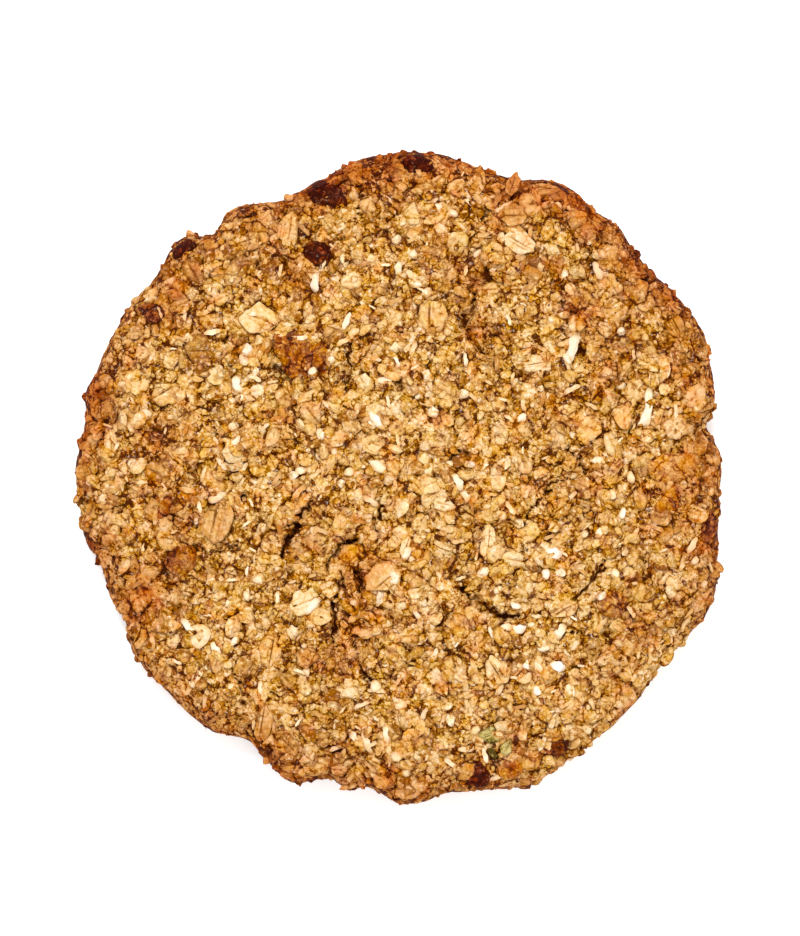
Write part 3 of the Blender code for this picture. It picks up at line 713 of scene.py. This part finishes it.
def lay(mesh, skin, x, y, turn, size, lift, level):
    """Moves a form onto the dough at x, y in mm: turned, sized, and stood square to the slope there."""
    point, normal, _, _ = skin.ray_cast(Vector((x * MM, y * MM, 0.05)), -UP)
    slope = normal.lerp(UP, level).normalized()
    stand = UP.rotation_difference(slope).to_matrix().to_4x4()
    turned = Matrix.Rotation(math.radians(turn), 4, "Z")
    mesh.transform(Matrix.Translation(point + slope * lift) @ stand @ turned @ Matrix.Diagonal((*size, 1.0)))


def join(name, meshes, tints, finish):
    """One object from many meshes, each of which keeps its own tint."""
    vertices, faces, tint, marks, start = [], [], [], [], 0
    for mesh, value in zip(meshes, tints):
        points = vertex_array(mesh)
        vertices.append(points)
        marks.append(read_attribute(mesh, "mark") if "mark" in mesh.attributes else np.zeros(len(points)))
        faces.extend([[start + v for v in polygon.vertices] for polygon in mesh.polygons])
        tint.append(np.full(len(points), value))
        start += len(points)
        bpy.data.meshes.remove(mesh)
    mesh = bpy.data.meshes.new(name)
    mesh.from_pydata(np.concatenate(vertices).tolist(), [], faces)
    mesh.shade_smooth()
    write_attribute(mesh, "tint", np.concatenate(tint))
    write_attribute(mesh, "mark", np.concatenate(marks))
    mesh.materials.append(finish)
    return add_object(name, mesh)


def grain_form(rng):
    """A white grain one unit long, darker towards its rim: painted shade on its sides that leaves its middle
    as a painted highlight.
    """
    mesh = nugget_form(rng, subdivisions=3, sharpness=0.6)
    reach = 2 * np.linalg.norm(vertex_array(mesh)[:, :2], axis=1)
    write_attribute(mesh, "mark", np.clip(reach, 0, 1) ** 2.2)
    return mesh


def fruit_form(rng, length, width):
    """A lump of dried fruit one unit long, its skin shrivelled at true scale."""
    bm = bmesh.new()
    bmesh.ops.create_icosphere(bm, subdivisions=5, radius=0.5)
    seed = Vector((rng.uniform(0, 99), rng.uniform(0, 99), 0))
    for vertex in bm.verts:
        spot = Vector((vertex.co.x * length, vertex.co.y * width, vertex.co.z * 4.0)) + seed
        folds = noise.noise(spot / 1.9) * 0.24 + (0.25 - noise.voronoi(spot / 0.8)[0][0]) * 0.10
        folds += noise.noise(spot / 0.4) * 0.08
        vertex.co *= 1.0 + folds
    return mesh_from_bmesh("fruit", bm)


# The large pieces: name, finish, table and seed, the form of a row, its size from length and width, then
# the middle's height over the host, how level it lies, from 0 along its slope to 1 flat, how far in its
# place is drawn, so that tall fruit stays within the edge, and the tints, if the table gives none
LARGE_PIECES = (
    ("large_oat_flakes", "oat", FLAKES, SEED,
     lambda rng, row: flake_form(rng, 14, 60, 1.0, breaks=0 if row[5] > 0.7 else 1),
     lambda length, width: (length, width, 5.0 * MM), 0.58 * MM, 0.35, 1.0, None),
    ("large_coconut_shreds", "coconut", SHREDS, SEED + 1, lambda rng, row: shred_form(rng),
     lambda length, width: (length, width / 0.26, width / 0.18), 0.80 * MM, 0.7, 1.0, (0.42, 0.76)),
    ("large_white_grains", "coconut", GRAINS, SEED + 4, lambda rng, row: grain_form(rng),
     lambda length, width: (length, width * 1.15, width), 0.65 * MM, 0.5, 1.0, (0.42, 0.74)),
    ("pumpkin_seed_pieces", "seed", SEEDS, SEED + 3,
     lambda rng, row: flake_form(rng, 10, 40, 1.0, breaks=2, half_thickness=0.13),
     lambda length, width: (length, width, 4.5 * MM), 0.50 * MM, 0.35, 1.0, None),
    ("fruit_pieces", "fruit", FRUIT, SEED + 2, lambda rng, row: fruit_form(rng, row[2], row[3]),
     lambda length, width: (length, width, 1.9 * MM), 0.18 * MM, 0.4, 0.985, None),
)


def large_piece(skin, finishes, name, finish, table, seed, form, size, height, level, draw_in, tints):
    """Lays one form for each row of a table and makes one piece of them."""
    rng = random.Random(seed)
    meshes = []
    for row in table:
        x, y, length, width, turn = row[:5]
        mesh = form(rng, row)
        lay(mesh, skin, x * draw_in, y * draw_in, turn, size(length * MM, width * MM), height, level)
        meshes.append(mesh)
    tints = [rng.uniform(*tints) if tints else row[5] for row in table]
    return join(name, meshes, tints, finishes[finish])


# ---------------------------------------------------------------- browning and depth, point by point


def top_map(pieces):
    """The highest point over each cell of the plan, from every corner, edge and face of the pieces."""
    cells = int(2 * MAP_HALF / MAP_CELL)
    top = np.zeros((cells, cells))
    for piece in pieces:
        mesh = piece.data
        mesh.calc_loop_triangles()
        corners = np.empty(len(mesh.loop_triangles) * 3, np.int32)
        mesh.loop_triangles.foreach_get("vertices", corners)
        a, b, c = vertex_array(mesh)[corners.reshape(-1, 3)].transpose(1, 0, 2)
        for points in (a, (a + b) / 2, (b + c) / 2, (c + a) / 2, (a + b + c) / 3):
            column = np.clip(((points[:, :2] + MAP_HALF) / MAP_CELL).astype(int), 0, cells - 1)
            np.maximum.at(top, (column[:, 0], column[:, 1]), points[:, 2])
    return top


def evened(grid, radius):
    """A map evened out over a radius in metres."""
    wave = np.exp(-2.0 * (math.pi * np.fft.fftfreq(len(grid)) * radius / MAP_CELL) ** 2)
    return np.fft.ifft2(np.fft.fft2(grid) * wave[:, None] * wave[None, :]).real


def read_map(grid, points):
    """The map's value over each point, read between its cells."""
    place = (points[:, :2] + MAP_HALF) / MAP_CELL - 0.5
    base = np.clip(place.astype(int), 0, len(grid) - 2)
    (i, j), (u, v) = base.T, np.clip(place - base, 0, 1).T
    near = grid[i, j] * (1 - v) + grid[i, j + 1] * v
    far = grid[i + 1, j] * (1 - v) + grid[i + 1, j + 1] * v
    return near * (1 - u) + far * u


def shade_points(pieces):
    """Writes each point's browning, with painted shade in some places ("toast"), and its depth among the
    crumbs about it ("sunk"), which the materials turn into painted shade and highlight.
    """
    top = top_map(pieces)
    covered = (top > 0.1 * MM).astype(float)
    levels = []
    for radius, weight in GAPS:
        levels.append((evened(top, radius) / np.maximum(evened(covered, radius), 0.05), weight))
    for piece in pieces:
        points = vertex_array(piece.data)
        sunk = sum(weight * (read_map(level, points) - points[:, 2]) for level, weight in levels)
        seen = np.clip((points[:, 2] - SEEN_FROM) / SEEN_OVER, 0, 1)
        # Low on the side the depth is held at 0.3, a steady painted shade there
        sunk = np.clip(sunk, -0.6, 1) * seen + 0.3 * (1 - seen)
        write_attribute(piece.data, "sunk", sunk)
        low = np.clip((LOW_BELOW - points[:, 2]) / LOW_OVER, 0, 1)
        toast = 0.50 * rim_share(points) ** 1.1 + 0.14 * patches(points, BROWN_PATCH) + 0.20 * low
        for x, y, radius, strength in TONED_PLACES:
            apart = np.hypot(points[:, 0] / MM - x, points[:, 1] / MM - y)
            toast += strength * np.exp(-((apart / radius) ** 2))
        write_attribute(piece.data, "toast", np.clip(toast, -0.6, 1))


# ---------------------------------------------------------------- materials


def baked_material(
    name, stops, tone=0.0, roughness=0.62, grit=1.0, granular=0.3, specks_and_highlights=0.45, lines=0.5, pits=0.40,
    fissures=0.85,
):
    """A matt baked surface: the tint picks a colour, heat browns it, painted shade darkens its gaps and a
    painted highlight pales its crests, grit roughens it.
    """
    material = bpy.data.materials.new(name)
    material.use_nodes = True
    tree = material.node_tree
    shader = tree.nodes["Principled BSDF"].inputs
    new = partial(add, tree)
    place = new("ShaderNodeTexCoord", give="Object")
    layers = ("tint", "toast", "sunk", "mark")
    tint, toast, sunk, mark = (
        new("ShaderNodeAttribute", give="Fac", attribute_name=layer) for layer in layers
    )

    # Fine mottling, crumbs of 0.6 mm with their seams, grit of 0.3 mm, and hair cracks 1.5 mm apart; seams
    # and cracks are drawn darker, as painted shade in them
    mottle = new(CLOUD, place, 1 / (0.55 * MM), 3.0, 0.6)
    crumb = new(CELLS, place, 1 / (0.62 * MM))
    seam = new(SEAMS, place, 1 / (0.62 * MM))
    sand = new(CELLS, place, 1 / (0.30 * MM))
    swirl = new(SCALE, mottle.node.outputs["Color"], 0.7 * MM)
    bent = new(MOVE, place, swirl)
    hair = new(SEAMS, bent, 1 / (1.5 * MM))
    hair = new(FIT, hair, 0.02, 0.09, 1.0, 0.0)
    patch = new(FIT, new(CLOUD, place, 1 / (2.6 * MM)), 0.42, 0.58, 0.0, 1.0)
    hair = new(TIMES, hair, patch)

    # Wider fissures, about 4.4 mm apart, that wind with a slower sway; they are drawn darker, as painted
    # shade in them
    sway = new(CLOUD, place, 1 / (2.4 * MM), 3.0, 0.6, give="Color")
    sway = new(SCALE, sway, 3.0 * MM)
    swayed = new(MOVE, place, sway)
    fissure = new(SEAMS, swayed, 1 / (4.4 * MM))
    fissure = new(TIMES, new(FIT, fissure, 0.008, 0.055, 1.0, 0.0), fissures)

    # Painted shade where a point lies deep among the crumbs, more in some patches, and a painted highlight
    # where it stands out above them
    craggy = new(FIT, new(CLOUD, place, 1 / (4.6 * MM), 3.0, 0.6), 0.38, 0.62, 0.55, 1.40)
    hollow_shade = new(TIMES, sunk, craggy)
    deep = new(MOST, new(MINUS, hollow_shade, 0.10), 0.0)
    crest_highlight = new(MOST, new(TIMES, sunk, -1.0), 0.0)
    level = new(PLUS, tint, tone)
    for value, weight in (
        (new(MINUS, crumb.node.outputs["Color"], 0.5), granular),
        (new(MINUS, sand.node.outputs["Color"], 0.5), 0.12),
        (new(MINUS, mottle, 0.5), 0.45),
        (new(FIT, seam, 0.0, 0.12, 1.0, 0.0), -0.45 * granular),
        # The mark paints shade into oat creases and round the grains' sides, a darker rim on flakes and
        # browned ends on shreds
        (new(TIMES, hair, craggy), -0.58 * lines),
        (fissure, -0.44),
        (mark, -0.40),
        (toast, -0.24),
        (deep, -0.38),
        (crest_highlight, 0.25),
    ):
        level = new(TIMES_PLUS, value, weight, level)
    colour = new("ShaderNodeValToRGB", level, stops=stops)

    # Pale specks, partly flour and partly painted highlights kept out of the shaded hollows, then patches a
    # little redder or greener, then each piece's own hue
    specks = new(CLOUD, place, 1 / (0.55 * MM), 3.0, 0.55)
    near = new(FIT, hollow_shade, 0.05, 0.35, 1.0, 0.0)
    speck_and_highlight = new(TIMES, new(FIT, specks, 0.60, 0.70, 0.0, specks_and_highlights), near)
    hue = new(CLOUD, place, 1 / (3.2 * MM))
    for factor, over, blend in (
        (speck_and_highlight, "#fdebd6", COVER),
        (new(FIT, hue, 0.52, 0.70, 0.0, 0.50), "#fcbc78", TINGE),
        (new(FIT, hue, 0.44, 0.30, 0.0, 0.30), "#f2eed6", TINGE),
    ):
        colour = new(blend, factor, colour, hex_colour(over))
    fat = new("ShaderNodeSeparateColor", new(CLOUD, place, 1 / (1.7 * MM), give="Color")).node.outputs
    own, second = (
        new(FRACTION, new(TIMES, tint, factor)) for factor in (57.3, 91.7)
    )
    oily = new(FIT, fat["Red"], 0.30, 0.70, 0.93, 1.09)
    fullness = new(TIMES, oily, new(FIT, own, 0.0, 1.0, 0.97, 1.03))
    warm = new(FIT, fat["Green"], 0.30, 0.70, 0.512, 0.501)
    turn = new(PLUS, warm, new(FIT, second, 0.0, 1.0, 0.002, -0.002))
    # browned: the darker side of the browning, painted shade of some places included, which turns the hue
    # redder
    browned = new(MOST, toast, 0.0)
    turn = new(TIMES_PLUS, browned, -0.008, turn)
    turn = new(PLUS, turn, new(FIT, level, 0.15, 0.75, -0.007, 0.004))
    shift = {"Hue": turn, "Saturation": fullness, "Color": colour}
    colour = new("ShaderNodeHueSaturation", named=shift)

    # Browning, with painted shade in some darker places; pinholes, painted dark as shade with no hole under
    # them; and painted shade between the pieces
    for factor, over, blend in (
        (toast, "#e6ba88", TINGE),
        (new(FIT, specks, 0.41, 0.33, 0.0, pits), "#562406", COVER),
        (new(FIT, hollow_shade, 0.43, 0.90, 0.0, 0.76), "#3a1602", COVER),
    ):
        colour = new(blend, factor, colour, hex_colour(over))
    rough = new(FIT, mottle, 0.3, 0.7, roughness - 0.12, roughness + 0.14)
    relief = mottle
    for value, weight in ((crumb, -0.8), (sand, -0.4), (hair, -0.5 * lines)):
        relief = new(TIMES_PLUS, value, weight, relief)
    height = {"Strength": 0.8, "Distance": 0.22 * MM * grit, "Height": relief}
    bump = new("ShaderNodeBump", named=height)
    for name, value in (("Base Color", colour), ("Roughness", rough), ("Normal", bump)):
        tree.links.new(value, shader[name])
    shader["Specular IOR Level"].default_value = 0.03  # dry crumb throws back next to no gloss
    shader["IOR"].default_value = 1.45  # of fat and starch
    return material


def stops_from(*colours):
    """Even stops of a colour ramp from sRGB hex values, darkest first."""
    return [(i / (len(colours) - 1), hex_colour(c)) for i, c in enumerate(colours)]


GOLDEN = stops_from("#4a2002", "#a4681a", "#cb9a55", "#dbaf7c", "#e9c8aa")
TOASTED = stops_from("#461e06", "#8e5216", "#bd8641", "#d3a263", "#dfb581")
CREAM = stops_from("#865218", "#c08d4a", "#d9b480", "#e6c8a6", "#efdfd2")
COCONUT = stops_from("#a8743a", "#cda066", "#e5c59e", "#efdac6", "#f6ece8")
BRAN = stops_from("#452004", "#743c0a", "#9c5c1c", "#b97b34", "#d0994d")
SEED_GREEN = stops_from("#544214", "#907a3c", "#b4a066", "#c8ba84", "#dad0a8")
DRIED = stops_from("#36140a", "#6e3214", "#9e5826", "#c2803e", "#d8a060")


def pale_board():
    """A white acrylic light table: matt, and lit softly from below, so that nothing shades it."""
    material = bpy.data.materials.new("lit_white_acrylic")
    material.use_nodes = True
    shader = material.node_tree.nodes["Principled BSDF"].inputs
    for name, value in (
        ("Base Color", hex_colour("#fbfbfa")), ("Roughness", 0.9),
        ("Emission Color", hex_colour("#ffffff")), ("Emission Strength", 0.25),
    ):
        shader[name].default_value = value
    return material


# ---------------------------------------------------------------- building


# Small pieces, one row for each set of forms: the forms, where there is room, then in mm the spacing,
# smallest and largest size; the size's bias, lift and its spread in mm, tumble, and seed. Then for
# each piece: name, finish, the share of the points that it takes, from and to, darkest and palest tint
SMALL_PIECES = (
    ("nugget", "room", 1.35, 1.2, 3.4, 1.8, -0.04, 0.25, 1.0, SEED, (
        ("golden_nuggets", "golden", 0.0, 0.42, 0.35, 0.75),
        ("toasted_nuggets", "toasted", 0.42, 0.68, 0.35, 0.80),
        ("cream_nuggets", "creamy", 0.68, 1.0, 0.15, 0.60),
    )),
    ("fragment", "flat_room", 1.40, 1.4, 4.0, 1.5, 0.40, 0.20, 0.24, SEED + 30, (
        ("golden_oat_fragments", "golden", 0.0, 0.45, 0.40, 0.85),
        ("toasted_oat_fragments", "toasted", 0.45, 0.65, 0.40, 0.85),
        ("cream_oat_fragments", "creamy", 0.65, 1.0, 0.15, 0.65),
    )),
    ("lump", "room", 2.7, 2.4, 5.0, 1.4, -0.65, 0.30, 0.15, SEED + 20, (
        ("golden_lumps", "golden", 0.0, 0.6, 0.35, 0.75),
        ("toasted_lumps", "toasted", 0.6, 1.0, 0.35, 0.75),
    )),
    ("bit", "small_room", 1.24, 0.6, 1.5, 1.3, 0.10, 0.25, 1.0, SEED + 50, (
        ("fine_crumbs", "golden", 0.0, 0.42, 0.2, 0.85),
        ("fine_browned_crumbs", "toasted", 0.42, 0.76, 0.2, 0.85),
        ("fine_cream_crumbs", "creamy", 0.76, 1.0, 0.2, 0.60),
    )),
    ("bead", "room", 3.0, 1.1, 2.4, 1.3, 0.3, 0.2, 1.0, SEED + 100, (
        ("pale_grains", "creamy", 0.0, 1.0, 0.30, 0.84),
    )),
    ("oat", "top_room", 4.2, 2.2, 4.6, 1.3, 0.42, 0.15, 0.12, SEED + 200, (
        ("small_oat_flakes", "oat", 0.0, 0.6, 0.3, 0.75),
        ("browned_oat_flakes", "golden", 0.6, 1.0, 0.3, 0.75),
    )),
    ("shred", "top_room", 2.9, 1.1, 2.8, 1.4, 0.60, 0.25, 0.08, SEED + 300, (
        ("coconut_shreds", "coconut", 0.0, 1.0, 0.0, 0.62),
    )),
    ("bran", "top_room", 2.1, 0.6, 1.8, 1.5, 0.48, 0.25, 0.16, SEED + 400, (
        ("bran_flecks", "bran", 0.0, 1.0, 0.1, 0.9),
    )),
)


def make_forms():
    """The forms of the small pieces, a collection of each kind, drawn in a fixed order."""
    rng = random.Random(SEED)
    kinds = (
        ("nugget", 14, lambda: nugget_form(rng)),
        ("lump", 12, lambda: nugget_form(rng)),
        ("bit", 12, lambda: nugget_form(rng, sharpness=0.8)),
        ("bead", 8, lambda: nugget_form(rng, sharpness=0.7)),
        ("shred", 8, lambda: shred_form(rng)),
        ("oat", 12, lambda: flake_form(rng, 4, 16, rng.uniform(0.6, 0.9), rng.choice((0, 1, 2)), 0.085)),
        ("fragment", 12, lambda: flake_form(rng, 3, 12, rng.uniform(0.55, 0.95), rng.choice((2, 3)), 0.13)),
        ("bran", 8, lambda: bran_form(rng)),
    )
    return {name: form_collection(name, [make() for _ in range(count)]) for name, count, make in kinds}


def make_finishes():
    """Every baked surface of the cookie."""
    return {
        # crumb with butter in it: golden and matt, its crests paler with a painted highlight
        "golden": baked_material("golden_baked_crumb", GOLDEN, tone=0.03),
        # crumb that the oven reached first: a redder, deeper brown
        "toasted": baked_material("toasted_baked_crumb", TOASTED, tone=0.09),
        # oat crumb with little fat: pale cream and floury
        "creamy": baked_material("cream_oat_crumb", CREAM, grit=0.7, granular=0.2, pits=0.3),
        # the dough beneath: golden and coarse, full of pinholes painted dark as shade
        "matrix": baked_material("baked_dough", GOLDEN, tone=0.12, granular=0.7, grit=1.4, pits=0.65),
        # steamed and rolled oat: smooth and cream, with a darker rim and creases darkened by painted shade
        "oat": baked_material(
            "rolled_oat_flake", CREAM, tone=-0.10, grit=0.7, granular=0.1, specks_and_highlights=0.3, pits=0.2,
            fissures=0.2,
        ),
        # dried coconut flesh: nearly white, a little waxy, its ends caught by the heat
        "coconut": baked_material(
            "toasted_desiccated_coconut", COCONUT, grit=0.4, roughness=0.5, granular=0.1, specks_and_highlights=0.0,
            lines=0.1, pits=0.1, fissures=0.0,
        ),
        # husk of the wheat: thin brown flecks
        "bran": baked_material("wheat_bran", BRAN, grit=0.5),
        # seed without its shell: a dull olive, smooth green
        "seed": baked_material("hulled_pumpkin_seed", SEED_GREEN, grit=0.5, roughness=0.5, specks_and_highlights=0.1),
        # chopped fruit: shrivelled, orange-brown to dark red-brown, slightly sticky
        "fruit": baked_material(
            "dried_fruit", DRIED, tone=0.14, grit=1.5, roughness=0.5, granular=0.5, specks_and_highlights=0.12
        ),
    }


def build_cookie():
    """The dough, all pieces on it, their shading and their places in the frame."""
    dough, host = make_dough()
    forms, finishes, tree = make_forms(), make_finishes(), scatter_tree()
    dough.data.materials.append(finishes["matrix"])

    pieces = [dough]
    for form, room, spacing, smallest, largest, bias, lift, spread, tumble, seed, kinds in SMALL_PIECES:
        shared = {
            "Forms": forms[form], "Room": room, "Spacing": spacing * MM, "Smallest": smallest * MM,
            "Largest": largest * MM, "Size bias": bias, "Lift": lift * MM, "Lift spread": spread * MM,
            "Tumble": tumble, "Seed": seed,
        }
        for name, finish, start, end, darkest, palest in kinds:
            own = {"Share from": start, "Share to": end, "Darkest": darkest, "Palest": palest}
            pieces.append(scatter(name, tree, host, {**shared, **own, "Finish": finishes[finish]}))
    skin = BVHTree.FromPolygons(
        [v.co.copy() for v in host.data.vertices], [p.vertices[:] for p in host.data.polygons]
    )
    pieces += [large_piece(skin, finishes, *row) for row in LARGE_PIECES]

    for collection in forms.values():
        for obj in list(collection.objects):
            bpy.data.objects.remove(obj, do_unlink=True)
        bpy.data.collections.remove(collection)
    bpy.data.objects.remove(host, do_unlink=True)
    for piece in pieces:
        points = vertex_array(piece.data)
        points[:, 2] = np.maximum(points[:, 2], 0.0)
        piece.data.vertices.foreach_set("co", points.astype(np.float32).ravel())
    shade_points(pieces)
    for piece in pieces:
        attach(piece, "root")
        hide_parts("cookie")


# ---------------------------------------------------------------- floor, light and camera

PICTURE_SCALE = 650 / 0.096  # pixels to a metre at the cookie's widest line
PICTURE_HEIGHT = 936
CAMERA_HEIGHT = 0.62
CAMERA_RIGHT, CAMERA_UP = 3.0, 8.5  # of the cookie's middle, in pixels



# Disk lights: name, azimuth and elevation in degrees, distance and size in metres, power in watts
LIGHTS = (("key", 100, 60, 0.8, 0.30, 4.5), ("fill", -60, 55, 0.9, 0.7, 2.4))
SKY_STRENGTH = 0.83
FLOOR_DROP = 0.2 * MM  # keeps the floor clear of the flat underside
SENSOR_WIDTH = 36.0


def area_light(name, azimuth, elevation, distance, size, power):
    """A disk light that faces the origin."""
    data = bpy.data.lights.new(name, "AREA")
    data.shape = "DISK"
    data.size = size
    data.energy = power
    light = add_object(name, data)
    turn, rise = math.radians(azimuth), math.radians(elevation)
    aim = Vector((math.cos(turn) * math.cos(rise), math.sin(turn) * math.cos(rise), math.sin(rise)))
    light.location = aim * distance
    light.rotation_euler = aim.to_track_quat("Z", "Y").to_euler()


def build_studio():
    """The floor, the lights, the sky and a camera straight above the cookie."""
    bm = bmesh.new()
    bmesh.ops.create_grid(bm, x_segments=1, y_segments=1, size=1.5)
    floor = add_object("floor", mesh_from_bmesh("floor", bm))
    floor.location.z = -FLOOR_DROP
    floor.data.materials.append(pale_board())

    for row in LIGHTS:
        area_light(*row)
    world = bpy.data.worlds.new("studio")
    world.use_nodes = True
    sky = world.node_tree.nodes["Background"].inputs
    sky["Color"].default_value = (1, 1, 1, 1)
    sky["Strength"].default_value = SKY_STRENGTH
    bpy.context.scene.world = world
    bpy.context.scene.view_settings.view_transform = "Standard"

    data = bpy.data.cameras.new("camera")
    reach = CAMERA_HEIGHT - WAIST_HEIGHT
    data.sensor_width = SENSOR_WIDTH
    data.lens = PICTURE_SCALE * reach * SENSOR_WIDTH / PICTURE_HEIGHT
    data.clip_start = 0.01
    camera = add_object("camera", data)
    camera.location = (CAMERA_RIGHT / PICTURE_SCALE, CAMERA_UP / PICTURE_SCALE, CAMERA_HEIGHT)
    bpy.context.scene.camera = camera


build_studio()
build_cookie()
